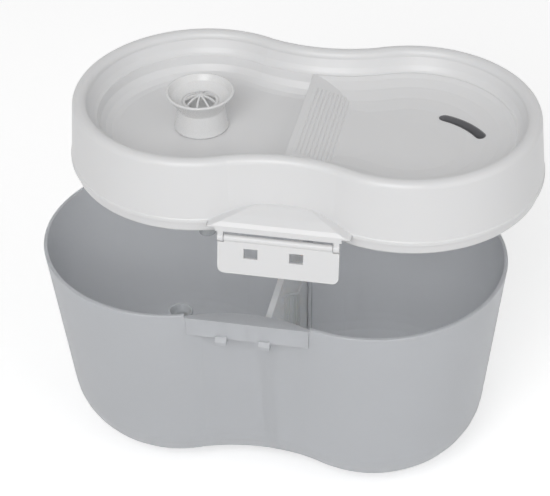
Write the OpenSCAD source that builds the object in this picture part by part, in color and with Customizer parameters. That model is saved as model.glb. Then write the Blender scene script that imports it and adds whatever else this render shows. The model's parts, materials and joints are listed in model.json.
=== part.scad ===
// Pet water fountain: a two-lobed open tank, a lift-off drinking tray with a spout cup,
// a latch flap at the front, a clear filter divider and a small pump with its riser.
// Origin: middle of the tank's underside. +Z up, -Y the latch side, +X the shallow dish.

/* [Tank] */
// Outer radius of each lobe at the rim
lobe_r = 78; // [74:1:82]
// Distance of each lobe's centre from the middle
lobe_c = 59.5; // [56:0.5:63]
// Half the outer width at the waist
waist_half = 66.5; // [64:0.5:68]
// Height of the tank
tank_h = 134; // [128:1:142]
// Wall thickness of the tank and the tray
wall = 2.2; // [1.8:0.1:2.6]
// Lean of the tank's walls, in degrees
draft = 6; // [4:0.5:7]
// Radius where the walls turn into the floor
bottom_r = 42; // [36:1:44]

/* [Waist ledges] */
// Half the length of each straight ledge across the waist
ledge_half = 35; // [32:1:36]
// Depth of the ledge's front face
ledge_face = 12; // [10:0.5:14]
// How far the ledge sits below the rim
ledge_drop = 2; // [1.5:0.5:3]

/* [Tray] */
// Height of the tray's crest over the tank's rim
crest_rise = 36; // [32:1:40]
// Radius of the rounded crest
crest_r = 4.2; // [3.6:0.1:4.6]
// Depth of the spout bowl below the crest
bowl_depth = 23; // [21:0.5:24]
// Depth of the dish below the crest
dish_depth = 19.4; // [17:0.2:20]
// Depth of the step between the bowls below the crest
weir_depth = 12; // [11:0.5:13]
// Number of fine ribs on the ramp
ramp_ribs = 9; // [7:1:10]
// How far the lifted tray is held above its seat
lift_z = 66; // [60:1:80]
// How far the lifted tray is held to the dish side
lift_x = 20; // [10:1:20]

/* [Latch] */
// Width of the latch flap
flap_w = 66.6; // [64:0.2:67]
// Length of the latch flap below its pins
flap_l = 21; // [19:0.5:24]
// Angle the free flap hangs open, in degrees
flap_open = 12; // [11:0.5:14]
// Width of each latch window
window_w = 7.6; // [7.2:0.1:8.4]
// Distance between the two latch windows
window_gap = 25; // [22:0.5:28]

/* [Spout cup] */
// Outer radius of the cup's rim
cup_r = 19.2; // [18:0.2:21]
// Outer radius of the cup's foot
cup_foot_r = 15.5; // [14.5:0.1:16.5]
// Outer radius of the stem tube
stem_r = 5; // [4.6:0.1:5.6]
// Number of grille bars across the cup
grille_bars = 4; // [3:1:5]

/* [Divider] */
// Place of the divider along the tank
divider_x = 8; // [6:0.5:10]
// Thickness of the divider
divider_t = 2.4; // [2:0.1:2.8]
// Number of ribs on the divider's grille
divider_ribs = 5; // [4:1:6]

/* [Pump] */
// Length of the pump's housing
pump_l = 46; // [45:1:50]
// Width of the pump's housing
pump_w = 34; // [32:1:38]
// Height of the pump's housing
pump_h = 32; // [30:1:36]
// Number of impeller blades
impeller_blades = 6; // [4:1:8]

/* [Hidden] */
$fn = 96;
eps = 0.01;
// running clearance of pins and shafts, on the radius
run_gap = 0.05;
// clearance of soft rings and of pieces that lift out, on each side
soft_gap = 0.3;
slide_gap = 0.5;

// waist fillet that joins the two lobes, set into them by a small blend
blend = 0.2;
near_r = lobe_r - blend;
fillet_r = (pow(lobe_c, 2) + pow(waist_half, 2) - pow(near_r, 2)) / (2 * (near_r - waist_half));
fillet_y = waist_half + fillet_r;
tangent_a = atan2(fillet_y, lobe_c);
past_wall = 10;
corner_x = lobe_c - (lobe_r + past_wall) * cos(tangent_a);
corner_y = (lobe_r + past_wall) * sin(tangent_a);
ring_far = fillet_y + lobe_r;

// tank
arc_z = bottom_r * (1 - sin(draft));
arc_in = (tank_h - arc_z) * tan(draft);
arc_steps = 10;
rim_edge = 0.5;
ledge_y = fillet_y - sqrt(pow(fillet_r, 2) - pow(ledge_half, 2)) - 0.2;
ledge_z = tank_h - ledge_drop;
ledge_back = 12;
notch_side = 1;
cord_notch_r = 3.5;
cord_notch_x = 9 - ledge_half;
notch_deep = 20;
guide_t = 2;
guide_in = 4;
guide_top = tank_h - 16;

// tray, in its seated place
seat_gap = 0.1;
band_z = tank_h - 8;
band_in = wall + 3;
flange_in = wall + 0.9;
flange_z = tank_h - 1.2;
crest_z = tank_h + crest_rise;
skirt_in = flange_in + 3.2;
crest_in = skirt_in + crest_r;
weir_z = crest_z - weir_depth;
bowl_z = crest_z - bowl_depth;
dish_z = crest_z - dish_depth;
basin_in = crest_in + crest_r + 4.7;
weir_x = -4;
weir_t = 3;
ramp_end = 22;
ramp_foot = 0.7;
ramp_lean = atan2(weir_z - dish_z - ramp_foot, ramp_end - weir_x - weir_t);
rib_r = 0.36;
slot_c = [64, -14];
slot_r = 40;
slot_mid = 54;
slot_span = 40;
slot_w = 6.4;
slot_step = 0.15;
bulge_half = ledge_half - 0.5;
bulge_wide = 39.4;
bulge_y = ledge_y + 3.4;
bulge_rise = 9;
bulge_r = (pow(bulge_wide, 2) + pow(bulge_rise, 2)) / (2 * bulge_rise);
bulge_seat_ribs = [-28, -10, 8, 26];
seat_z = ledge_z + seat_gap;
bulge_low = tank_h + 0.4;

// latch
hinge_y = -(ledge_y + 2.6);
hinge_z = ledge_z - 4;
ear_r = 2.2;
ear_t = 3.2;
ear_x = flap_w / 2 - ear_t - 0.1;
pin_r = 1.2;
barrel_r = 1.9;
flap_t = 2;
latch_x = -2.5;
window_h = 5.8;
window_drop = 8.5;
catch_w = window_w - 1;
catch_h = window_h - 1.2;
catch_out = 2.8;
flap_corner = 3.5;

// cup
cup_h = weir_depth + 11;
cup_neck_r = 12.6;
cup_lip = 1.6;
grille_r = 10.3;
stem_bore = stem_r - 1.6;
stem_up = 5.4;
stem_low = 72.5;
seal_r = stem_r + 3;
boss_r = seal_r + 2;

// divider and filter
divider_top = band_z - 1.5;
relief_t = 1.2;
filter_y = -20;
filter_w = 52;
filter_z = 40;
filter_h = 56;
frame_t = 1.6;
frame_d = 9;

// pump
foot_h = 4.2;
foot_r = 5;
foot_x = 12;
foot_y = 9;
pump_x = -lobe_c;
pump_back = pump_x - pump_l + 13;
pump_front = pump_x + 13;
pump_z = wall + foot_h;
pump_top = pump_z + pump_h;
axle_z = pump_z + pump_h / 2;
chamber_r = 12;
chamber_d = 11;
chamber_x = pump_front - chamber_d;
well_r = 6.4;
well_l = 20;
magnet_r = 5.7;
blade_r = 10;
shaft_r = 1.1;
bush_r = 3;
lid_t = 2;
lid_x = pump_front - lid_t;
cover_d = 13;
cover_t = 1.8;
port_r = 5;
room_d = 11;
room_w = pump_w - 6;
room_h = 22;
core_x = pump_back + 4.2;
core_t = 4;
core_h = 11.6;
leg_y = well_r + 1.6;
leg_w = 5.6;
leg_l = 22;
coil_t = 2;
nozzle_top = pump_top + 9;
stem_in = 3;
riser_top = stem_low + stem_in;
riser_r = 6.4;

// ---------- shared shapes ----------

// a path is a list of [inset from the rim's outline, height], from the low middle to the top
module lobes(path) {
    low = path[0][1];
    high = path[len(path) - 1][1];
    for (side = [-1, 1])
        translate([side * lobe_c, 0, 0])
            rotate_extrude()
                polygon(concat([[0, low]], [for (p = path) [lobe_r - p[0], p[1]]], [[0, high]]));
}

module waist(path) {
    low = path[0][1];
    high = path[len(path) - 1][1];
    intersection() {
        translate([0, 0, low - 1])
            linear_extrude(height = high - low + 2)
                polygon([[-lobe_c, 0], [-corner_x, -corner_y], [corner_x, -corner_y],
                    [lobe_c, 0], [corner_x, corner_y], [-corner_x, corner_y]]);
        waist_side(path, -1);
        waist_side(path, 1);
    }
}

module waist_side(path, side) {
    low = path[0][1];
    high = path[len(path) - 1][1];
    translate([0, side * fillet_y, 0])
        rotate_extrude()
            polygon(concat([[ring_far, low]], [for (p = path) [fillet_r + p[0], p[1]]],
                [[ring_far, high]]));
}

module peanut(path) {
    lobes(path);
    waist(path);
}

// tank wall and floor, moved inwards by t
function tank_path(t, top) = concat(
    [for (i = [0 : arc_steps])
        let (a = 90 - (90 - draft) * i / arc_steps)
        [arc_in + bottom_r * cos(draft) - (bottom_r - t) * cos(a), bottom_r - (bottom_r - t) * sin(a)]],
    [[t / cos(draft) + (tank_h - top) * tan(draft), top]]);

function arc(c, r, from, to, n) = [for (i = [0 : n])
    let (a = from + (to - from) * i / n) [c[0] + r * cos(a), c[1] + r * sin(a)]];

function rounded(w, h, r) = concat(
    arc([w / 2 - r, h / 2 - r], r, 0, 90, 6), arc([r - w / 2, h / 2 - r], r, 90, 180, 6),
    arc([r - w / 2, r - h / 2], r, 180, 270, 6), arc([w / 2 - r, r - h / 2], r, 270, 360, 6));

// a box with rounded long edges, lying along X from x0 to x1
module box_x(x0, x1, w, h, z, r) {
    translate([x0, 0, z])
        rotate([90, 0, 90])
            linear_extrude(height = x1 - x0)
                polygon(rounded(w, h, r));
}

// a prism cut from an outline in X and Z, reaching half each way along Y
module slab_y(points, half) {
    translate([0, half, 0])
        rotate([90, 0, 0])
            linear_extrude(height = 2 * half)
                polygon(points);
}

module lifted() {
    translate([lift_x, 0, lift_z])
        children();
}

// ---------- tank ----------

// straight ledge across the waist: a top shelf, a face and ribs behind it
module ledge(side) {
    low = ledge_z - ledge_face;
    for (y = [side > 0 ? 0 : 1])
        mirror([0, y, 0]) {
            translate([-ledge_half, ledge_y - wall, low])
                cube([2 * ledge_half, wall, ledge_face]);
            translate([-ledge_half, ledge_y - ledge_back, ledge_z - wall])
                cube([2 * ledge_half, ledge_back, wall]);
            for (x = [-ledge_half + wall, -wall / 2, ledge_half - 2 * wall])
                translate([x, ledge_y - ledge_back, low])
                    cube([wall, ledge_back - eps, ledge_face]);
        }
}

// nose under the front ledge that the flap's window snaps over
module catch_nose(x) {
    z = hinge_z - window_drop;
    translate([x + catch_w / 2, 0, 0])
        rotate([0, -90, 0])
            linear_extrude(height = catch_w)
                polygon([[z - catch_h / 2, -ledge_y + ledge_back / 2],
                    [z - catch_h / 2, -ledge_y - catch_out],
                    [z, -ledge_y - catch_out],
                    [z + catch_h / 2, -ledge_y - catch_out / 3],
                    [z + catch_h / 2, -ledge_y + ledge_back / 2]]);
}

// outline of the rim's low part over a ledge, with a dip in it where the pump's lead passes
function notch_outline(dip) = let (half = ledge_half + notch_side) concat(
    [[-half, ledge_z]], dip, [[half, ledge_z], [half, tank_h + notch_deep], [-half, tank_h + notch_deep]]);

module divider_guides() {
    difference() {
        intersection() {
            for (x = [divider_x - divider_t / 2 - slide_gap - guide_t, divider_x + divider_t / 2 + slide_gap])
                translate([x, -lobe_r, 0])
                    cube([guide_t, 2 * lobe_r, guide_top]);
            waist(tank_path(wall - 0.3, tank_h));
        }
        waist(tank_path(wall + guide_in, tank_h));
    }
}

module tank() {
    color([0.80, 0.82, 0.84, 0.8]) {
        difference() {
            union() {
                peanut(concat(tank_path(0, tank_h - rim_edge), [[rim_edge, tank_h]]));
                ledge(-1);
                ledge(1);
                for (x = [-1, 1])
                    catch_nose(latch_x + x * window_gap / 2);
            }
            peanut(tank_path(wall, tank_h + 5));
            translate([0, -ledge_y, 0])
                slab_y(notch_outline([]), notch_deep);
            translate([0, ledge_y, 0])
                slab_y(notch_outline(arc([cord_notch_x, ledge_z], cord_notch_r, 180, 360, 16)), notch_deep);
        }
        divider_guides();
    }
}

// ---------- tray ----------

skirt_path = concat(
    [[band_in + 0.8, band_z], [band_in, band_z + 1], [band_in - 0.8, flange_z - 0.8],
        [flange_in, flange_z], [flange_in, flange_z + 2], [flange_in + 0.5, flange_z + 2.6]],
    arc([crest_in, crest_z - crest_r], crest_r, 180, 92, 6));

hollow_path = concat(
    [[band_in + 0.8 + wall, band_z - 1], [band_in - 0.6 + wall, flange_z - 0.8],
        [flange_in + 0.3 + wall, flange_z + 1], [flange_in + 0.5 + wall, flange_z + 2.6]],
    arc([crest_in, crest_z - crest_r], crest_r - wall, 180, 90, 4));

// inside of the crest and the basin down to the weir's level
basin_path = concat(
    [[basin_in, weir_z], [basin_in - 1, weir_z + 1], [basin_in - 2.6, weir_z + 3.4]],
    arc([crest_in, crest_z - crest_r], crest_r, 0, 88, 6),
    [[crest_in + 0.15, crest_z + 2]]);

// the same basin with its wall's thickness round it
basin_shell = [[basin_in - wall / 2, weir_z - wall], [basin_in - 1 - wall, weir_z - 0.4],
    [basin_in - 2.6 - wall, weir_z + 2.8], [crest_in + crest_r - wall, crest_z - crest_r],
    [crest_in + crest_r - wall, crest_z]];

// side of the spout bowl, moved outwards and down by t
function bowl_path(t, top) = [[basin_in + 11, bowl_z - t], [basin_in + 7.5 - t / 4, bowl_z + 0.6 - t],
    [basin_in + 4.4 - t / 2, bowl_z + 2.6 - t * 0.8], [basin_in + 1.8 - t * 0.8, bowl_z + 6 - t / 2],
    [basin_in + 0.2 - t, top]];

// side of the drinking dish, moved outwards and down by t
function dish_path(t, top) = [[basin_in + 41, dish_z - t], [basin_in + 28, dish_z + 0.4 - t],
    [basin_in + 18, dish_z + 1.5 - t], [basin_in + 9.5 - t / 4, dish_z + 3.5 - t],
    [basin_in + 3.6 - t / 2, dish_z + 5.9 - t], [basin_in + 0.2 - t, top]];

// everything on the spout side of the weir, moved towards the dish by t
module spout_side(t) {
    slab_y([[-3 * lobe_r, bowl_z - 20], [weir_x - 3 + t, bowl_z - 20], [weir_x - 3 + t, bowl_z],
        [weir_x + t, weir_z], [weir_x + t, crest_z], [-3 * lobe_r, crest_z]], lobe_r);
}

// everything over the ramp and the dish, moved down by t
module dish_side(t) {
    slab_y([[weir_x + weir_t, weir_z - t], [ramp_end, dish_z + ramp_foot - t], [3 * lobe_r, dish_z - 6 - t],
        [3 * lobe_r, crest_z], [weir_x + weir_t, crest_z]], lobe_r);
}

module ramp_ribs_row() {
    run = ramp_end - weir_x - weir_t;
    fall = weir_z - dish_z - ramp_foot;
    for (i = [1 : ramp_ribs])
        translate([weir_x + weir_t + run * i / (ramp_ribs + 1), 0, weir_z - fall * i / (ramp_ribs + 1)])
            rotate([90, 0, 0])
                cylinder(r = rib_r, h = waist_half, center = true, $fn = 16);
}

// arched bulge of the skirt that carries the tray on the waist ledge
module bulge_shape(t) {
    reach = bulge_y - t;
    intersection() {
        rotate([90, 0, 90])
            translate([0, 0, -bulge_wide + t])
                linear_extrude(height = 2 * (bulge_wide - t))
                    polygon([[reach, band_z - 4], [reach, bulge_low + 1.2], [reach - 1.6, bulge_low + 3.2],
                        [reach - 6, bulge_low + 0.62 * bulge_rise - t / 2],
                        [reach - 13, bulge_low + 0.88 * bulge_rise - t * 0.8],
                        [reach - 20, bulge_low + bulge_rise - t], [reach - 20, band_z - 4]]);
        translate([0, 0, bulge_low + bulge_rise - bulge_r])
            rotate([90, 0, 0])
                cylinder(r = bulge_r - t, h = 3 * lobe_r, center = true);
    }
}

module bulge(side) {
    mirror([0, side > 0 ? 0 : 1, 0])
        difference() {
            bulge_shape(0);
            difference() {
                bulge_shape(wall);
                for (x = bulge_seat_ribs)
                    translate([x, 0, 0])
                        cube([wall, 2 * lobe_r, 2 * tank_h]);
            }
            translate([-lobe_r, 0, 0])
                cube([2 * lobe_r, 2 * lobe_r, seat_z]);
            for (x = [-1, 1])
                translate([x > 0 ? bulge_half : -bulge_half - lobe_r, 0, 0])
                    cube([lobe_r, 2 * lobe_r, bulge_low]);
            translate([-lobe_r, 0, 0])
                cube([2 * lobe_r, waist_half - skirt_in - 1.5, 2 * tank_h]);
        }
}

module hinge_ear(side) {
    translate([side > 0 ? ear_x : -ear_x - ear_t, 0, 0]) {
        translate([0, hinge_y, hinge_z])
            rotate([0, 90, 0])
                cylinder(r = ear_r, h = ear_t);
        translate([0, -bulge_y, hinge_z])
            cube([ear_t, bulge_y + hinge_y + 1, seat_z - hinge_z + 1]);
    }
}

module drain_slot() {
    translate([slot_c[0], slot_c[1], bowl_z - 20])
        rotate([0, 0, slot_mid - slot_span / 2]) {
            rotate_extrude(angle = slot_span)
                translate([slot_r - slot_w / 2, 0])
                    square([slot_w, bowl_depth + 30]);
            for (a = [0, slot_span])
                rotate([0, 0, a])
                    translate([slot_r, 0, 0])
                        cylinder(r = slot_w / 2 - slot_step, h = bowl_depth + 30, $fn = 32);
        }
}

module tray_under() {
    difference() {
        peanut(hollow_path);
        peanut(basin_shell);
        intersection() {
            peanut(bowl_path(wall, weir_z - 1));
            spout_side(wall);
        }
        intersection() {
            peanut(dish_path(wall, weir_z - 1));
            dish_side(wall / cos(ramp_lean));
        }
        translate([-lobe_c, 0, bowl_z - wall - 6])
            cylinder(r = boss_r, h = 7);
    }
}

module tray_seated() {
    difference() {
        union() {
            peanut(skirt_path);
            bulge(-1);
            bulge(1);
            for (side = [-1, 1])
                hinge_ear(side);
        }
        peanut(basin_path);
        intersection() {
            peanut(bowl_path(0, weir_z + 0.5));
            spout_side(0);
        }
        difference() {
            intersection() {
                peanut(dish_path(0, weir_z + 0.5));
                dish_side(0);
            }
            ramp_ribs_row();
        }
        tray_under();
        drain_slot();
        translate([-lobe_c, 0, bowl_z - 20])
            cylinder(r = stem_r + 0.6, h = 30);
        translate([-lobe_c, 0, bowl_z - wall - 7])
            cylinder(r = seal_r + run_gap, h = 6);
        translate([0, hinge_y, hinge_z])
            rotate([0, 90, 0])
                cylinder(r = pin_r + run_gap, h = 2 * lobe_r, center = true);
    }
}

module tray() {
    color([0.92, 0.92, 0.91])
        lifted()
            tray_seated();
}

// ---------- latch flap ----------

module latch_flap() {
    color([0.95, 0.95, 0.94])
        lifted()
            translate([0, hinge_y, hinge_z])
                rotate([-flap_open, 0, 0])
                    difference() {
                        union() {
                            rotate([0, 90, 0])
                                cylinder(r = pin_r, h = 2 * (ear_x + ear_t), center = true);
                            rotate([0, 90, 0])
                                cylinder(r = barrel_r, h = 2 * ear_x - 0.6, center = true);
                            translate([0, 1.5 - flap_t, -flap_l / 2])
                                rotate([-90, 0, 0])
                                    linear_extrude(height = flap_t)
                                        polygon(flap_outline());
                        }
                        for (x = [-1, 1])
                            translate([latch_x + x * window_gap / 2 - window_w / 2, -10,
                                -window_drop - window_h / 2])
                                cube([window_w, 20, window_h]);
                    }
}

// plate outline with rounded lower corners and cut upper corners that clear the ears
function flap_outline() = let (w = flap_w / 2, l = flap_l / 2, c = flap_corner, s = ear_r + 0.6) concat(
    [[-ear_x + 0.3, -l], [ear_x - 0.3, -l], [ear_x - 0.3, s - l], [w, s - l]],
    arc([w - c, l - c], c, 0, 90, 8), arc([c - w, l - c], c, 90, 180, 8),
    [[-w, s - l], [-ear_x + 0.3, s - l]]);

// ---------- spout cup ----------

module fountain_cup() {
    color([0.93, 0.93, 0.92])
        lifted()
            translate([-lobe_c, 0, bowl_z + seat_gap])
                difference() {
                    rotate_extrude()
                        polygon(concat(
                            [[0, 0], [cup_foot_r - 0.6, 0], [cup_foot_r, 0.8], [cup_foot_r - 0.5, 3],
                                [cup_neck_r + 0.6, cup_h - 10.5], [cup_neck_r + 1.4, cup_h - 8.6],
                                [cup_r - 2.2, cup_h - 4]],
                            arc([cup_r - cup_lip / 2, cup_h - cup_lip / 2], cup_lip / 2, -30, 170, 8),
                            [[cup_r - 3.2, cup_h - 3.4], [grille_r + 1.6, cup_h - 6.2],
                                [grille_r + 0.1, cup_h - 6.8], [grille_r + 0.1, cup_h - 8.4],
                                [grille_r - 1.8, cup_h - 8.4], [stem_r + 1, 7], [0, 7]]));
                    translate([0, 0, -1])
                        cylinder(r = stem_r + run_gap, h = 6.5);
                    cylinder(r = stem_bore, h = cup_h);
                    translate([0, 0, -eps])
                        difference() {
                            cylinder(r = cup_foot_r - 1.8, h = 5);
                            cylinder(r = stem_r + 2, h = 6);
                        }
                }
}

// domed spider with a ring round it
module cup_grille() {
    dome = 12;
    sink = sqrt(pow(dome, 2) - pow(grille_r - 1.4, 2));
    color([0.90, 0.90, 0.89])
        lifted()
            translate([-lobe_c, 0, bowl_z + cup_h - 8.2]) {
                difference() {
                    cylinder(r = grille_r, h = 1.5);
                    translate([0, 0, -1])
                        cylinder(r = grille_r - 1.7, h = 4);
                }
                intersection() {
                    translate([0, 0, 1.5 - sink])
                        difference() {
                            sphere(r = dome);
                            sphere(r = dome - 1.2);
                        }
                    union() {
                        for (i = [0 : grille_bars - 1])
                            rotate([0, 0, i * 180 / grille_bars])
                                translate([-grille_r + 0.8, -0.55, 0.3])
                                    cube([2 * grille_r - 1.6, 1.1, dome]);
                        cylinder(r = 1.8, h = dome);
                    }
                }
            }
}

module stem_tube() {
    color([0.85, 0.86, 0.87])
        lifted()
            translate([-lobe_c, 0, stem_low])
                difference() {
                    cylinder(r = stem_r, h = bowl_z + stem_up - stem_low);
                    translate([0, 0, -1])
                        cylinder(r = stem_bore, h = bowl_z + 2 * stem_up - stem_low);
                }
}

module stem_seal() {
    color([0.55, 0.56, 0.58])
        lifted()
            translate([-lobe_c, 0, bowl_z - wall - 5.4])
                difference() {
                    cylinder(r = seal_r, h = 4.4);
                    translate([0, 0, -1])
                        cylinder(r = stem_r + soft_gap, h = 8);
                }
}

// ---------- divider and filter ----------

// points on the divider are [y, height]
module on_divider(x, t) {
    translate([x, 0, 0])
        rotate([90, 0, 90])
            linear_extrude(height = t)
                children();
}

module divider() {
    face = divider_x + divider_t / 2;
    knee = [-22, divider_top - 12];
    heel = [24, divider_top - 45];
    color([0.86, 0.89, 0.91, 0.55])
        difference() {
            union() {
                intersection() {
                    waist(tank_path(wall + slide_gap, tank_h));
                    translate([divider_x - divider_t / 2, -lobe_r, 0])
                        cube([divider_t, 2 * lobe_r, divider_top]);
                }
                intersection() {
                    waist(tank_path(wall + guide_in + slide_gap, tank_h));
                    on_divider(face - eps, relief_t) {
                        polygon([[-60, divider_top], [knee[0] + 4, divider_top],
                            knee + [1.4, 1.2], heel + [0.4, 1.6], [60, heel[1] + 1.6], [60, heel[1]],
                            heel, knee, [knee[0] + 1, divider_top - 2], [-60, divider_top - 2]]);
                    }
                }
                for (i = [0 : divider_ribs])
                    let (y = -16 + i * (heel[0] + 16) / divider_ribs)
                        translate([face - eps, y - 0.8, filter_z - 2])
                            cube([relief_t, 1.6, knee[1] - filter_z + 2
                                + (heel[1] - knee[1]) * (y - knee[0]) / (heel[0] - knee[0]) + 0.6]);
                filter_frame();
            }
            for (i = [0 : divider_ribs - 1])
                let (step = (heel[0] + 16) / divider_ribs, y = -16 + i * step)
                    translate([divider_x - divider_t, y + 1.6, filter_z + 2])
                        cube([2 * divider_t, step - 3.2, heel[1] - filter_z - 6]);
            on_divider(divider_x - divider_t, 2 * divider_t)
                translate([38, divider_top - 14])
                    circle(r = 6);
        }
}

// shallow tray on the pump side of the divider that holds the pad
module filter_frame() {
    back = divider_x - divider_t / 2;
    translate([back - frame_d, filter_y, filter_z - 4])
        difference() {
            cube([frame_d + eps, filter_w, filter_h]);
            translate([-1, frame_t, frame_t])
                cube([frame_d + 1, filter_w - 2 * frame_t, filter_h - 2 * frame_t]);
        }
}

module filter_pad() {
    back = divider_x - divider_t / 2;
    color([0.30, 0.32, 0.34])
        translate([back - frame_d + 2.2, filter_y + frame_t + soft_gap, filter_z - 4 + frame_t + soft_gap])
            cube([frame_d - 2.5, filter_w - 2 * (frame_t + soft_gap), filter_h - 2 * (frame_t + soft_gap)]);
}

module filter_cover() {
    back = divider_x - divider_t / 2 - frame_d;
    w = filter_w - 2 * (frame_t + soft_gap);
    h = filter_h - 2 * (frame_t + soft_gap);
    color([0.86, 0.88, 0.90])
        translate([back, filter_y + frame_t + soft_gap, filter_z - 4 + frame_t + soft_gap])
            difference() {
                cube([1.8, w, h]);
                for (i = [0 : 4], k = [0 : 3])
                    translate([-1, 3 + i * (w - 4) / 5, 3 + k * (h - 4) / 4])
                        cube([4, (w - 4) / 5 - 2, (h - 4) / 4 - 2]);
            }
}

// ---------- pump ----------

module along_x(x, r, l) {
    translate([x, 0, axle_z])
        rotate([0, 90, 0])
            cylinder(r = r, h = l);
}

module pump_body() {
    color([0.90, 0.90, 0.90])
        difference() {
            union() {
                box_x(pump_back, pump_front, pump_w, pump_h, axle_z, 4);
                translate([pump_x, 0, pump_top - 1])
                    cylinder(r = port_r + 2.2, h = 4);
            }
            along_x(chamber_x, chamber_r, chamber_d + 1);
            along_x(lid_x, chamber_r + 1.6, lid_t + 1);
            along_x(chamber_x - well_l, well_r, well_l + 1);
            along_x(chamber_x - well_l - 2.4, bush_r, 4);
            translate([pump_x, 0, axle_z])
                cylinder(r = port_r, h = pump_h);
            stator_room();
            for (x = [-1, 1], y = [-1, 1])
                translate([pump_x - 6 + x * foot_x, y * foot_y, pump_z - 1])
                    cylinder(r = 2.2, h = 4);
        }
}

// pocket for the motor's core and coil, open at the back
module stator_room() {
    translate([pump_back - 1, -room_w / 2, axle_z - room_h / 2])
        cube([room_d + 1, room_w, room_h]);
    for (y = [-1, 1])
        translate([pump_back + 2, y > 0 ? leg_y - 0.2 : -leg_y - leg_w - 0.2, axle_z - core_h / 2 - 0.2])
            cube([leg_l + core_t + 0.4, leg_w + 0.4, core_h + 0.4]);
}

module stator_core() {
    color([0.42, 0.43, 0.45])
        translate([core_x, 0, axle_z - core_h / 2]) {
            for (y = [-1, 1])
                translate([0, y > 0 ? leg_y : -leg_y - leg_w, 0])
                    cube([leg_l, leg_w, core_h]);
            translate([0, -leg_y - 1, 0])
                cube([core_t, 2 * leg_y + 2, core_h]);
        }
}

module stator_coil() {
    color([0.72, 0.45, 0.20])
        translate([core_x - coil_t, -leg_y + 0.6, axle_z - core_h / 2 - coil_t])
            difference() {
                cube([core_t + 2 * coil_t, 2 * leg_y - 1.2, core_h + 2 * coil_t]);
                translate([coil_t - 0.1, -1, coil_t - 0.1])
                    cube([core_t + 0.2, 2 * leg_y + 2, core_h + 0.2]);
            }
}

module potting_plug() {
    color([0.15, 0.15, 0.17])
        difference() {
            translate([pump_back + 0.1, -room_w / 2 + run_gap, axle_z - room_h / 2 + run_gap])
                cube([1.7, room_w - 2 * run_gap, room_h - 2 * run_gap]);
            along_x(pump_back - 1, bush_r, 4);
        }
}

module pump_cover() {
    h = pump_h;
    inner = pump_w - 2 * cover_t;
    color([0.88, 0.88, 0.88])
        difference() {
            box_x(pump_front + 0.1, pump_front + cover_d, pump_w, h, axle_z, 4);
            box_x(pump_front, pump_front + cover_d - cover_t, inner, h - 2 * cover_t, axle_z, 2.6);
            for (i = [-4 : 4])
                if (abs(i) > 1)
                    translate([pump_front + cover_d - 3, i * 3.1 - 0.8, axle_z - h / 2 + 6])
                        cube([6, 1.6, h - 12]);
            for (i = [0 : 2], y = [-1, 1])
                translate([pump_front + 2.4 + i * 3.1, y > 0 ? pump_w / 2 - 4 : -pump_w / 2 - 4,
                    axle_z - h / 2 + 7])
                    cube([1.5, 8, h - 14]);
            along_x(pump_front + cover_d - 3, 1.5 + run_gap, 6);
            for (y = [-1, 1])
                translate([pump_front + cover_d - 3, -2.4, y > 0 ? axle_z + 3.2 : axle_z - 7.2])
                    cube([6, 4.8, 4]);
        }
}

module chamber_lid() {
    color([0.84, 0.84, 0.85])
        difference() {
            along_x(lid_x, chamber_r + 1.6 - run_gap, lid_t - 0.2);
            difference() {
                along_x(lid_x - 1, 7, 5);
                along_x(lid_x - 1, bush_r + 1.5, 5);
                for (a = [0, 60, 120])
                    translate([0, 0, axle_z])
                        rotate([a, 0, 0])
                            translate([lid_x - 1, -0.8, -8])
                                cube([5, 1.6, 16]);
            }
            along_x(lid_x - 1, bush_r, 5);
        }
}

module impeller() {
    color([0.30, 0.45, 0.70]) {
        difference() {
            along_x(chamber_x + 1, 3.6, 6);
            along_x(chamber_x, shaft_r + run_gap, 9);
        }
        difference() {
            along_x(chamber_x + 0.6, magnet_r, 1.6);
            along_x(chamber_x, shaft_r + run_gap, 9);
        }
        for (i = [0 : impeller_blades - 1])
            translate([chamber_x + 1, 0, axle_z])
                rotate([i * 360 / impeller_blades, 0, 0])
                    translate([0, -0.6, 3])
                        cube([6, 1.2, blade_r - 3]);
    }
}

module rotor_magnet() {
    color([0.20, 0.20, 0.22])
        difference() {
            along_x(chamber_x - well_l + 1.4, magnet_r, well_l - 0.8);
            along_x(chamber_x - well_l, shaft_r + run_gap, well_l + 2);
        }
}

module rotor_shaft() {
    color([0.93, 0.93, 0.90])
        along_x(chamber_x - well_l - 1.6, shaft_r, well_l + chamber_d + 1.2);
}

module rear_bush() {
    color([0.18, 0.18, 0.20])
        difference() {
            along_x(chamber_x - well_l - 2.2, bush_r - run_gap, 3.2);
            along_x(chamber_x - well_l - 1.7, shaft_r, 6);
        }
}

module front_bush() {
    color([0.18, 0.18, 0.20])
        difference() {
            along_x(lid_x - 0.8, bush_r - run_gap, lid_t + 0.6);
            along_x(lid_x - 2, shaft_r, lid_t + 1.7);
        }
}

// shutter on the cover's face that turns to choke the intake
module flow_dial() {
    x = pump_front + cover_d + 0.2;
    color([0.35, 0.55, 0.78]) {
        difference() {
            along_x(x, 9, 1.6);
            for (a = [-1, 1])
                translate([x - 1, -3, a > 0 ? axle_z + 3 : axle_z - 7])
                    cube([4, 6, 4]);
        }
        along_x(x - 4.2, 1.5, 4.4);
        translate([x, -1, axle_z + 7])
            cube([3.4, 2, 6]);
    }
}

module outlet_nozzle() {
    color([0.86, 0.86, 0.87])
        translate([pump_x, 0, axle_z + chamber_r])
            difference() {
                union() {
                    cylinder(r = port_r - run_gap, h = nozzle_top - axle_z - chamber_r);
                    translate([0, 0, pump_top + 3.1 - axle_z - chamber_r])
                        cylinder(r = port_r + 1.6, h = 1.4);
                }
                translate([0, 0, -1])
                    cylinder(r = port_r - 1.5, h = pump_h);
            }
}

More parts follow.
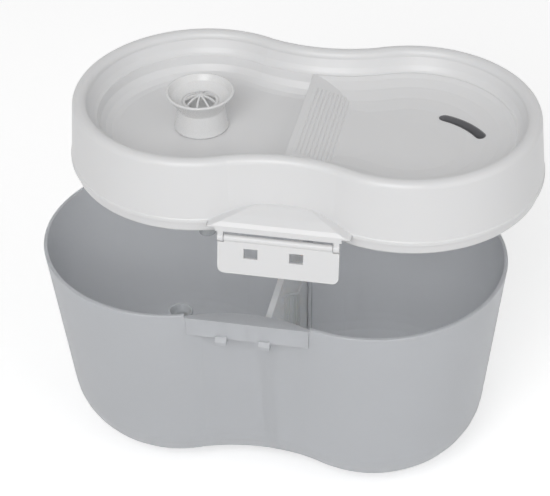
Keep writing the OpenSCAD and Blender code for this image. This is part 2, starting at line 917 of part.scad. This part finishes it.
// soft riser with a bell mouth that the stem drops into
module riser_tube() {
    low = pump_top + 4.6;
    color([0.80, 0.82, 0.84])
        translate([pump_x, 0, 0])
            rotate_extrude()
                polygon([[port_r + run_gap, low], [riser_r + 0.4, low], [riser_r + 0.4, low + 5],
                    [riser_r, low + 6], [riser_r, riser_top - 6], [stem_r + 2.6, riser_top - 2.4],
                    [stem_r + 2.6, riser_top - 0.4], [stem_r + 2.2, riser_top], [stem_r + 1.5, riser_top],
                    [stem_r + 0.6, riser_top - 3.6], [riser_r - 1.5, riser_top - 5],
                    [riser_r - 1.5, nozzle_top + 0.4], [port_r + run_gap, nozzle_top + 0.4]]);
}

module cable_gland() {
    color([0.15, 0.15, 0.16])
        difference() {
            union() {
                along_x(pump_back - 0.4, bush_r - run_gap, 2.4);
                along_x(pump_back - 2.4, 4.4, 2.4);
            }
            along_x(pump_back - 3, 1.6, 7);
        }
}

module suction_foot(x, y) {
    color([0.75, 0.77, 0.79])
        translate([pump_x - 6 + x * foot_x, y * foot_y, wall])
            rotate_extrude()
                polygon([[0, 1.6], [2, 1.4], [foot_r - 0.6, 0.1], [foot_r, 0.1], [foot_r - 0.8, 1.4],
                    [2.6, foot_h - 0.1], [2.1, foot_h - 0.1], [2.1, foot_h + 2.4], [0, foot_h + 2.4]]);
}

module foot_front_left() {
    suction_foot(1, -1);
}

module foot_front_right() {
    suction_foot(1, 1);
}

module foot_rear_left() {
    suction_foot(-1, -1);
}

module foot_rear_right() {
    suction_foot(-1, 1);
}

tank();
tray();
latch_flap();
fountain_cup();
cup_grille();
stem_tube();
stem_seal();
divider();
filter_pad();
filter_cover();
pump_body();
pump_cover();
chamber_lid();
impeller();
rotor_magnet();
rotor_shaft();
rear_bush();
front_bush();
flow_dial();
outlet_nozzle();
riser_tube();
stator_core();
stator_coil();
potting_plug();
cable_gland();
foot_front_left();
foot_front_right();
foot_rear_left();
foot_rear_right();
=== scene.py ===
import json
import math

import bmesh
import bpy
from mathutils import Matrix, Vector


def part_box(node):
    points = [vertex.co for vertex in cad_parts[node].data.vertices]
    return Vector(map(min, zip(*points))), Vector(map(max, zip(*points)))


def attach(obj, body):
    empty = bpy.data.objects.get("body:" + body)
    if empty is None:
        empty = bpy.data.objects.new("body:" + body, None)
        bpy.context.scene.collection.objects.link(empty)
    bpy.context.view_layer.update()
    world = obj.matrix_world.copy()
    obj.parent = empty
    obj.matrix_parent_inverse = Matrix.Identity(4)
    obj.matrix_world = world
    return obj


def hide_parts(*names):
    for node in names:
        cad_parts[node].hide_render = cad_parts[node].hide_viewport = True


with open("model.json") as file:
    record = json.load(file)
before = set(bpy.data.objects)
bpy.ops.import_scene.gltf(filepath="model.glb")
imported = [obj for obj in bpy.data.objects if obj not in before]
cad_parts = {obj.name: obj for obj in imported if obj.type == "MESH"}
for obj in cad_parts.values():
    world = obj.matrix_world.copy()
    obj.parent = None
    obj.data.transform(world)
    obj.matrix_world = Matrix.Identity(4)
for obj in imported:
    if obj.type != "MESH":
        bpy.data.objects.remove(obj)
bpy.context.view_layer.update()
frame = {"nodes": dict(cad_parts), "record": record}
nodes = frame["nodes"]
print("frame loaded with", len(nodes), "nodes")

# the camera stands at the viewing angle of the photograph
cameraView = {
    "azimuth": 12.71,  # degrees, from the front towards +X
    "elevation": 36.97,
    "roll": -1.63,
    "distance": 1.0683,  # metres from the point looked at
    "lookAt": (0.00088, 0.0, 0.1312),
    "focalPixels": 1813.9,  # focal length, for a picture of the width below
    "widthPixels": 550,
    "sensor": 36.0,  # millimetres
    "nearest": 0.01,
    "farthest": 50.0,
}


def placeCamera(view):
    az = math.radians(view["azimuth"])
    el = math.radians(view["elevation"])
    roll = math.radians(view["roll"])
    back = Vector((math.sin(az) * math.cos(el), -math.cos(az) * math.cos(el), math.sin(el)))
    side = Vector((math.cos(az), math.sin(az), 0.0))
    up = back.cross(side)
    rolledSide = side * math.cos(roll) + up * math.sin(roll)
    rolledUp = up * math.cos(roll) - side * math.sin(roll)
    turn = Matrix((rolledSide, rolledUp, back)).transposed().to_4x4()
    data = bpy.data.cameras.new("viewCamera")
    data.sensor_width = view["sensor"]
    data.lens = view["focalPixels"] / view["widthPixels"] * view["sensor"]
    data.clip_start = view["nearest"]
    data.clip_end = view["farthest"]
    camera = bpy.data.objects.new("viewCamera", data)
    camera.matrix_world = Matrix.Translation(Vector(view["lookAt"]) + back * view["distance"]) @ turn
    bpy.context.scene.collection.objects.link(camera)
    bpy.context.scene.camera = camera


placeCamera(cameraView)
bpy.context.scene.view_settings.view_transform = "Standard"
print("camera placed")

# surface effects that several materials share, as node groups
grainSettings = {
    "noiseRoughness": 0.55,
    "grainDetail": 3.0,
    "cloudDetail": 2.0,
    "glossSpread": 0.08,  # how far the grain and the clouds move the roughness
    "bumpDistance": 0.0001,
}
edgeSettings = {
    "radius": 0.0006,  # of a moulded edge
    "samples": 6,
    "maskGain": 5.0,
}


def startGroup(name, inputs, outputs):
    group = bpy.data.node_groups.new(name, "ShaderNodeTree")
    for label in inputs:
        group.interface.new_socket(name=label, in_out="INPUT", socket_type="NodeSocketFloat")
    for label, kind in outputs:
        group.interface.new_socket(name=label, in_out="OUTPUT", socket_type=kind)
    return group, group.nodes.new("NodeGroupInput"), group.nodes.new("NodeGroupOutput")


def placeGroup(tree, group, values):
    node = tree.nodes.new("ShaderNodeGroup")
    node.node_tree = group
    for label, value in values.items():
        node.inputs[label].default_value = value
    return node


def mathNode(tree, operation, first, second, clamp=False):
    # first and second are each a number or the socket of another node
    node = tree.nodes.new("ShaderNodeMath")
    node.operation = operation
    node.use_clamp = clamp
    for slot, value in ((0, first), (1, second)):
        if isinstance(value, (int, float)):
            node.inputs[slot].default_value = value
        else:
            tree.links.new(value, node.inputs[slot])
    return node.outputs[0]


def objectCoords(tree):
    return tree.nodes.new("ShaderNodeTexCoord").outputs["Object"]


def noiseNode(tree, coords, scale, detail):
    node = tree.nodes.new("ShaderNodeTexNoise")
    node.inputs["Detail"].default_value = detail
    node.inputs["Roughness"].default_value = grainSettings["noiseRoughness"]
    tree.links.new(coords, node.inputs["Vector"])
    tree.links.new(scale, node.inputs["Scale"])
    return node.outputs["Fac"]


def buildMouldGrain(settings):
    # fine spark grain of a moulded part, with slow clouds where the melt cooled unevenly
    group, given, out = startGroup("mouldGrain",
        ["Grain Scale", "Grain Depth", "Cloud Scale", "Cloud Amount"],
        [("Height", "NodeSocketFloat"), ("Shade", "NodeSocketFloat"), ("Gloss", "NodeSocketFloat")])
    coords = objectCoords(group)
    grain = noiseNode(group, coords, given.outputs["Grain Scale"], settings["grainDetail"])
    cloud = noiseNode(group, coords, given.outputs["Cloud Scale"], settings["cloudDetail"])
    height = mathNode(group, "MULTIPLY", grain, given.outputs["Grain Depth"])
    centred = mathNode(group, "SUBTRACT", cloud, 0.5)
    shade = mathNode(group, "MULTIPLY", centred, given.outputs["Cloud Amount"])
    both = mathNode(group, "ADD", grain, cloud)
    gloss = mathNode(group, "MULTIPLY", both, settings["glossSpread"])
    group.links.new(height, out.inputs["Height"])
    group.links.new(mathNode(group, "ADD", shade, 1.0), out.inputs["Shade"])
    group.links.new(mathNode(group, "SUBTRACT", gloss, settings["glossSpread"]), out.inputs["Gloss"])
    return group


def buildEdgeSoftener(settings):
    # the small radius that moulded edges have, and a mask of where it lies, which places a painted highlight
    # on those edges
    group, given, out = startGroup("edgeSoftener", ["Mask Gain"],
        [("Normal", "NodeSocketVector"), ("Mask", "NodeSocketFloat")])
    bevel = group.nodes.new("ShaderNodeBevel")
    bevel.samples = settings["samples"]
    bevel.inputs["Radius"].default_value = settings["radius"]
    surface = group.nodes.new("ShaderNodeNewGeometry")
    dot = group.nodes.new("ShaderNodeVectorMath")
    dot.operation = "DOT_PRODUCT"
    group.links.new(bevel.outputs["Normal"], dot.inputs[0])
    group.links.new(surface.outputs["Normal"], dot.inputs[1])
    bent = mathNode(group, "SUBTRACT", 1.0, dot.outputs["Value"], clamp=True)
    mask = mathNode(group, "MULTIPLY", bent, given.outputs["Mask Gain"], clamp=True)
    group.links.new(mask, out.inputs["Mask"])
    group.links.new(bevel.outputs["Normal"], out.inputs["Normal"])
    return group


mouldGrain = buildMouldGrain(grainSettings)
edgeSoftener = buildEdgeSoftener(edgeSettings)
print("shared effects built")

# what a material has where its own finish says nothing else, and the sockets that it goes to
plainSurface = {
    "metallic": 0.0,
    "ior": 1.49,
    "coat": 0.0,
    "coatRough": 0.2,
    "clear": 0.0,
    "subsurface": 0.0,
    "subsurfaceRadius": (0.004, 0.0035, 0.003),
    "subsurfaceScale": 1.0,
}
shaderSockets = {
    "metallic": "Metallic",
    "ior": "IOR",
    "coat": "Coat Weight",
    "coatRough": "Coat Roughness",
    "clear": "Transmission Weight",
    "subsurface": "Subsurface Weight",
    "subsurfaceRadius": "Subsurface Radius",
    "subsurfaceScale": "Subsurface Scale",
}


def startMaterial(name, settings):
    material = bpy.data.materials.new(name)
    material.use_nodes = True
    shader = material.node_tree.nodes["Principled BSDF"]
    surface = {**plainSurface, **settings}
    for label, socket in shaderSockets.items():
        shader.inputs[socket].default_value = surface[label]
    return material, material.node_tree, shader


# the colour scaled by the clouds, then mixed towards a paler colour along the rounded edges as a painted
# highlight
def tintWithEdgeHighlight(tree, colour, shade, edge, edgeHighlightColour, edgeHighlightAmount):
    scaled = tree.nodes.new("ShaderNodeVectorMath")
    scaled.operation = "SCALE"
    scaled.inputs[0].default_value = colour
    tree.links.new(shade, scaled.inputs["Scale"])
    mixed = tree.nodes.new("ShaderNodeMix")
    mixed.data_type = "RGBA"
    tree.links.new(mathNode(tree, "MULTIPLY", edge, edgeHighlightAmount), mixed.inputs["Factor"])
    tree.links.new(scaled.outputs["Vector"], mixed.inputs["A"])
    mixed.inputs["B"].default_value = (*edgeHighlightColour, 1.0)
    return mixed.outputs["Result"]


def colourRamp(tree, factor, low, high):
    # low and high are each a position and a colour
    ramp = tree.nodes.new("ShaderNodeValToRGB")
    for element, (position, colour) in zip(ramp.color_ramp.elements, (low, high)):
        element.position = position
        element.color = (*colour, 1.0)
    tree.links.new(factor, ramp.inputs["Fac"])
    return ramp.outputs["Color"]


def bumpNode(tree, height, strength, distance):
    bump = tree.nodes.new("ShaderNodeBump")
    bump.inputs["Strength"].default_value = strength
    bump.inputs["Distance"].default_value = distance
    tree.links.new(height, bump.inputs["Height"])
    return bump


def mouldedPlastic(name, settings):
    # any moulded piece: base colour with clouds, fine grain, softened edges with a painted highlight along
    # them
    material, tree, shader = startMaterial(name, settings)
    grain = placeGroup(tree, mouldGrain, {
        "Grain Scale": settings["grainScale"], "Grain Depth": settings["grainDepth"],
        "Cloud Scale": settings["cloudScale"], "Cloud Amount": settings["cloudAmount"]})
    edge = placeGroup(tree, edgeSoftener, {"Mask Gain": edgeSettings["maskGain"]})
    colour = tintWithEdgeHighlight(tree, settings["colour"], grain.outputs["Shade"], edge.outputs["Mask"],
        settings["edgeHighlightColour"], settings["edgeHighlightAmount"])
    tree.links.new(colour, shader.inputs["Base Color"])
    rough = mathNode(tree, "ADD", grain.outputs["Gloss"], settings["rough"], clamp=True)
    tree.links.new(rough, shader.inputs["Roughness"])
    bump = bumpNode(tree, grain.outputs["Height"], settings["bump"], grainSettings["bumpDistance"])
    tree.links.new(edge.outputs["Normal"], bump.inputs["Normal"])
    tree.links.new(bump.outputs["Normal"], shader.inputs["Normal"])
    return material


# in every moulded finish the edge colour is paler than the base colour: a painted highlight along the
# rounded edges
trayFinish = {
    "colour": (0.715, 0.715, 0.72), "edgeHighlightColour": (0.80, 0.80, 0.805), "edgeHighlightAmount": 0.5,
    "grainScale": 2400.0, "grainDepth": 0.5, "cloudScale": 16.0, "cloudAmount": 0.03,
    "rough": 0.36, "bump": 0.25, "coat": 0.08, "subsurface": 0.12,
}
cupFinish = dict(trayFinish, colour=(0.73, 0.73, 0.73), rough=0.28)
tankFinish = {
    "colour": (0.73, 0.745, 0.77), "edgeHighlightColour": (0.84, 0.85, 0.87), "edgeHighlightAmount": 0.7,
    "grainScale": 3200.0, "grainDepth": 0.8, "cloudScale": 9.0, "cloudAmount": 0.05,
    "rough": 0.42, "bump": 0.3, "clear": 0.5,
}
dividerFinish = {
    "colour": (0.95, 0.955, 0.96), "edgeHighlightColour": (0.98, 0.98, 0.98), "edgeHighlightAmount": 0.9,
    "grainScale": 2600.0, "grainDepth": 0.4, "cloudScale": 14.0, "cloudAmount": 0.04,
    "rough": 0.3, "bump": 0.2, "clear": 0.1, "subsurface": 0.5,
}
tubeFinish = dict(dividerFinish, colour=(0.80, 0.82, 0.83), rough=0.22, clear=0.5, subsurface=0.0)
siliconeFinish = {
    "colour": (0.66, 0.68, 0.70), "edgeHighlightColour": (0.74, 0.76, 0.78), "edgeHighlightAmount": 0.4,
    "grainScale": 1500.0, "grainDepth": 0.4, "cloudScale": 30.0, "cloudAmount": 0.05,
    "rough": 0.55, "bump": 0.3, "subsurface": 0.25,
}
pumpFinish = {
    "colour": (0.76, 0.76, 0.76), "edgeHighlightColour": (0.82, 0.82, 0.82), "edgeHighlightAmount": 0.5,
    "grainScale": 1400.0, "grainDepth": 0.8, "cloudScale": 25.0, "cloudAmount": 0.04,
    "rough": 0.46, "bump": 0.4,
}
blueFinish = {
    "colour": (0.10, 0.22, 0.45), "edgeHighlightColour": (0.20, 0.34, 0.58), "edgeHighlightAmount": 0.5,
    "grainScale": 1800.0, "grainDepth": 0.5, "cloudScale": 30.0, "cloudAmount": 0.08,
    "rough": 0.34, "bump": 0.25,
}
darkRubberFinish = {
    "colour": (0.03, 0.03, 0.033), "edgeHighlightColour": (0.09, 0.09, 0.09), "edgeHighlightAmount": 0.5,
    "grainScale": 1600.0, "grainDepth": 0.9, "cloudScale": 40.0, "cloudAmount": 0.2,
    "rough": 0.68, "bump": 0.4,
}
pottingFinish = dict(darkRubberFinish, rough=0.3, bump=0.2)
ceramicFinish = {
    "colour": (0.80, 0.79, 0.75), "edgeHighlightColour": (0.85, 0.84, 0.80), "edgeHighlightAmount": 0.4,
    "grainScale": 3000.0, "grainDepth": 0.3, "cloudScale": 60.0, "cloudAmount": 0.06,
    "rough": 0.16, "bump": 0.12,
}
magnetFinish = {
    "colour": (0.05, 0.05, 0.055), "edgeHighlightColour": (0.14, 0.14, 0.14), "edgeHighlightAmount": 0.6,
    "grainScale": 2600.0, "grainDepth": 1.0, "cloudScale": 50.0, "cloudAmount": 0.2,
    "rough": 0.5, "bump": 0.5,
}


def bandedMetal(name, settings):
    # even bands along one axis, which bump the surface too
    material, tree, shader = startMaterial(name, settings)
    wave = tree.nodes.new("ShaderNodeTexWave")
    wave.bands_direction = settings["across"]
    wave.inputs["Scale"].default_value = settings["bandScale"]
    wave.inputs["Distortion"].default_value = settings["distortion"]
    tree.links.new(objectCoords(tree), wave.inputs["Vector"])
    colour = colourRamp(tree, wave.outputs["Fac"],
        (0.0, settings["darkColour"]), (1.0, settings["paleColour"]))
    tree.links.new(colour, shader.inputs["Base Color"])
    shader.inputs["Roughness"].default_value = settings["rough"]
    bump = bumpNode(tree, wave.outputs["Fac"], settings["bump"], settings["bumpDistance"])
    tree.links.new(bump.outputs["Normal"], shader.inputs["Normal"])
    return material


# sheet steel in a stack
steelFinish = {
    "darkColour": (0.20, 0.20, 0.21), "paleColour": (0.46, 0.47, 0.48),
    "across": "Z", "bandScale": 600.0, "distortion": 0.3,
    "metallic": 0.9, "rough": 0.42, "bump": 0.5, "bumpDistance": 0.0001,
}
# enamelled wire laid side by side; the dark bands are painted shade in the grooves between the wires
copperFinish = {
    "darkColour": (0.16, 0.05, 0.02), "paleColour": (0.62, 0.28, 0.12),
    "across": "Y", "bandScale": 420.0, "distortion": 0.6,
    "metallic": 0.85, "coat": 0.4, "rough": 0.32, "bump": 0.8, "bumpDistance": 0.0002,
}
# the pores' near-black is painted shade in the openings of the foam
foamFinish = {
    "webColour": (0.10, 0.105, 0.11), "webUpTo": 0.05,
    "poreShadeColour": (0.012, 0.012, 0.013), "poreFrom": 0.35,
    "cellScale": 900.0, "rough": 0.95, "bump": 0.9, "bumpDistance": 0.0006,
}


def carbonFoam(name, settings):
    # open-cell foam: paler webs, with the pores between them painted dark as the shade inside them
    material, tree, shader = startMaterial(name, settings)
    cells = tree.nodes.new("ShaderNodeTexVoronoi")
    cells.feature = "DISTANCE_TO_EDGE"
    cells.inputs["Scale"].default_value = settings["cellScale"]
    tree.links.new(objectCoords(tree), cells.inputs["Vector"])
    colour = colourRamp(tree, cells.outputs["Distance"],
        (settings["webUpTo"], settings["webColour"]), (settings["poreFrom"], settings["poreShadeColour"]))
    tree.links.new(colour, shader.inputs["Base Color"])
    shader.inputs["Roughness"].default_value = settings["rough"]
    bump = bumpNode(tree, cells.outputs["Distance"], settings["bump"], settings["bumpDistance"])
    bump.invert = True
    tree.links.new(bump.outputs["Normal"], shader.inputs["Normal"])
    return material


# one material for each slot of the frame
finishes = {
    "tray_white": mouldedPlastic("trayWhite", trayFinish),
    "cup_white": mouldedPlastic("cupWhite", cupFinish),
    "tank_frosted": mouldedPlastic("tankFrosted", tankFinish),
    "divider_clear": mouldedPlastic("dividerClear", dividerFinish),
    "tube_clear": mouldedPlastic("tubeClear", tubeFinish),
    "soft_grey": mouldedPlastic("siliconeGrey", siliconeFinish),
    "pump_shell": mouldedPlastic("pumpShell", pumpFinish),
    "impeller_blue": mouldedPlastic("rotorBlue", blueFinish),
    "dark_rubber": mouldedPlastic("darkRubber", darkRubberFinish),
    "shaft_ceramic": mouldedPlastic("shaftCeramic", ceramicFinish),
    "magnet_dark": mouldedPlastic("magnetDark", magnetFinish),
    "potting_dark": mouldedPlastic("pottingDark", pottingFinish),
    "core_steel": bandedMetal("coreSteel", steelFinish),
    "coil_copper": bandedMetal("coilCopper", copperFinish),
    "filter_foam": carbonFoam("filterFoam", foamFinish),
}


def dressNodes():
    for part in frame["record"]["subparts"]:
        piece = nodes[part["node"]]
        piece.data.materials.clear()
        piece.data.materials.append(finishes[part["material_slot"]])


dressNodes()
print("materials placed on", len(nodes), "nodes")


def placeMesh(mesh, name, material):
    data = bpy.data.meshes.new(name)
    mesh.to_mesh(data)
    mesh.free()
    data.materials.append(material)
    piece = bpy.data.objects.new(name, data)
    bpy.context.scene.collection.objects.link(piece)
    return piece


# the filter pad is a block of foam in the divider's frame
padShape = {
    "edgeRadius": 0.0012,
    "edgeSegments": 3,
    "cuts": 10,
    "crown": 0.0004,  # how far the middle of the pad's front stands proud of its edges
    "flatShare": 0.99,  # least X in the normal of a front or back face
}


def makeFilterPad(shape):
    low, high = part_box("filter_pad")
    low, high = Vector(low), Vector(high)
    size = high - low
    mesh = bmesh.new()
    bmesh.ops.create_cube(mesh, size=1.0)
    bmesh.ops.scale(mesh, vec=(size.x - 2 * shape["crown"], size.y, size.z), verts=mesh.verts)
    bmesh.ops.bevel(mesh, geom=mesh.edges[:], offset=shape["edgeRadius"], segments=shape["edgeSegments"],
        profile=0.5, affect="EDGES", material=-1)
    flat = [face for face in mesh.faces if abs(face.normal.x) > shape["flatShare"]]
    edges = list({edge for face in flat for edge in face.edges})
    bmesh.ops.subdivide_edges(mesh, edges=edges, cuts=shape["cuts"], use_grid_fill=True)
    for vert in mesh.verts:
        acrossY = max(0.0, 1 - (2 * vert.co.y / size.y) ** 2)
        acrossZ = max(0.0, 1 - (2 * vert.co.z / size.z) ** 2)
        vert.co.x += math.copysign(shape["crown"] * (acrossY * acrossZ), vert.co.x)
    bmesh.ops.translate(mesh, vec=(low + high) / 2, verts=mesh.verts)
    bmesh.ops.recalc_face_normals(mesh, faces=mesh.faces)
    pad = placeMesh(mesh, "filterFoamPad", finishes["filter_foam"])
    for face in pad.data.polygons:
        face.use_smooth = True
    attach(pad, "cartridge")
    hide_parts("filter_pad")


makeFilterPad(padShape)
print("filter pad made")

# a soft dark lining stands in the drain slot and hangs below the dish as a drip lip; its dark grey is
# painted shade, so that the slot reads dark like a deep opening
slotShadeLining = {
    "arcCentre": (0.084, -0.014),  # the slot's arc in the lifted tray
    "arcRadius": 0.040,
    "startAngle": 34.0,  # degrees
    "span": 40.0,
    "slotWidth": 0.0068,  # the slot's own width and a little more, so that it sits in the walls
    "wall": 0.0009,
    "sunk": 0.0003,  # how far the top lies below the dish's floor
    "bottom": 0.2074,
    "castFrom": 0.3,  # a height above the whole tray
    "arcSteps": 20,
    "endSteps": 12,
    "weld": 0.00002,
}
# dark grey: painted shade in the drain slot
slotShadeFinish = dict(siliconeFinish, colour=(0.18, 0.18, 0.19), edgeHighlightColour=(0.21, 0.21, 0.22), subsurface=0.0)


def dishHeight(place, above):
    # the floor of the dish straight below a point over it
    found, spot = nodes["tray"].ray_cast(Vector((place.x, place.y, above)), Vector((0, 0, -1)))[:2]
    if not found:
        raise RuntimeError("no floor under the drain lining")
    return spot.z


def along(angle):
    return Vector((math.cos(angle), math.sin(angle), 0))


def makeSlotShadeLining(shape):
    # a point is spun along one side of the slot, round its end, back along the other side and round again
    mesh = bmesh.new()
    centre = Vector((*shape["arcCentre"], shape["bottom"]))
    start = math.radians(shape["startAngle"])
    span = math.radians(shape["span"])
    farEnd = centre + shape["arcRadius"] * along(start + span)
    nearEnd = centre + shape["arcRadius"] * along(start)
    inner = shape["arcRadius"] - shape["slotWidth"] / 2
    tip = mesh.verts.new(centre + inner * along(start))
    turns = [(centre, span, shape["arcSteps"]), (farEnd, -math.pi, shape["endSteps"]),
        (centre, -span, shape["arcSteps"]), (nearEnd, -math.pi, shape["endSteps"])]
    for pivot, angle, steps in turns:
        spun = bmesh.ops.spin(mesh, geom=[tip], cent=pivot, axis=(0, 0, 1), angle=angle, steps=steps)
        tip = next(item for item in spun["geom_last"] if isinstance(item, bmesh.types.BMVert))
    bmesh.ops.remove_doubles(mesh, verts=mesh.verts, dist=shape["weld"])
    drawn = bmesh.ops.extrude_edge_only(mesh, edges=mesh.edges[:])
    for item in drawn["geom"]:
        if isinstance(item, bmesh.types.BMVert):
            item.co.z = dishHeight(item.co, shape["castFrom"]) - shape["sunk"]
    bmesh.ops.recalc_face_normals(mesh, faces=mesh.faces)
    bmesh.ops.solidify(mesh, geom=mesh.faces[:], thickness=shape["wall"])
    bmesh.ops.recalc_face_normals(mesh, faces=mesh.faces)
    lining = placeMesh(mesh, "slotShadeLining", mouldedPlastic("slotShadeGrey", slotShadeFinish))
    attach(lining, "tray_unit")


makeSlotShadeLining(slotShadeLining)
print("drain lining made")

# floor, backdrop and light
studio = {
    "floorColour": (0.86, 0.86, 0.86),
    "floorRough": 0.9,
    "floorGlow": 0.42,  # added where the camera, glass or a mirror sees the floor, so that it reads as white
    "floorHalf": 6.0,
    "white": (1.0, 1.0, 1.0),
    "worldStrength": 0.4,
    "lampAim": (0.0, 0.0, 0.12),
    "lamps": [
        # name, place, size, power
        ("softKey", (-0.15, -1.7, 1.5), 1.2, 22.5),
        ("softFill", (1.5, -0.8, 1.1), 1.6, 6.0),
    ],
}


def seenMask(tree):
    # 1 where the camera, glass or a mirror looks, 0 for the light that falls on the object
    rays = tree.nodes.new("ShaderNodeLightPath")
    seen = mathNode(tree, "MAXIMUM", rays.outputs["Is Camera Ray"], rays.outputs["Is Glossy Ray"])
    return mathNode(tree, "MAXIMUM", seen, rays.outputs["Is Transmission Ray"])


def makeFloor(settings):
    material = bpy.data.materials.new("studioFloor")
    material.use_nodes = True
    tree = material.node_tree
    shader = tree.nodes["Principled BSDF"]
    shader.inputs["Base Color"].default_value = (*settings["floorColour"], 1.0)
    shader.inputs["Roughness"].default_value = settings["floorRough"]
    shader.inputs["Emission Color"].default_value = (*settings["white"], 1.0)
    glow = mathNode(tree, "MULTIPLY", seenMask(tree), settings["floorGlow"])
    tree.links.new(glow, shader.inputs["Emission Strength"])
    mesh = bmesh.new()
    bmesh.ops.create_grid(mesh, x_segments=1, y_segments=1, size=settings["floorHalf"])
    floor = placeMesh(mesh, "studioFloor", material)


def makeLamps(settings):
    aim = Vector(settings["lampAim"])
    for name, place, size, power in settings["lamps"]:
        data = bpy.data.lights.new(name, "AREA")
        data.shape = "SQUARE"
        data.size = size
        data.energy = power
        lamp = bpy.data.objects.new(name, data)
        lamp.location = place
        lamp.rotation_euler = (aim - Vector(place)).to_track_quat("-Z", "Y").to_euler()
        bpy.context.scene.collection.objects.link(lamp)


def makeWorld(settings):
    # plain white where the camera, glass or a mirror sees it, softer as a light
    world = bpy.data.worlds.new("studioWorld")
    world.use_nodes = True
    tree = world.node_tree
    background = tree.nodes["Background"]
    background.inputs["Color"].default_value = (*settings["white"], 1.0)
    gain = mathNode(tree, "MULTIPLY", seenMask(tree), 1.0 - settings["worldStrength"])
    strength = mathNode(tree, "ADD", gain, settings["worldStrength"])
    tree.links.new(strength, background.inputs["Strength"])
    bpy.context.scene.world = world


makeFloor(studio)
makeLamps(studio)
makeWorld(studio)
print("studio made")
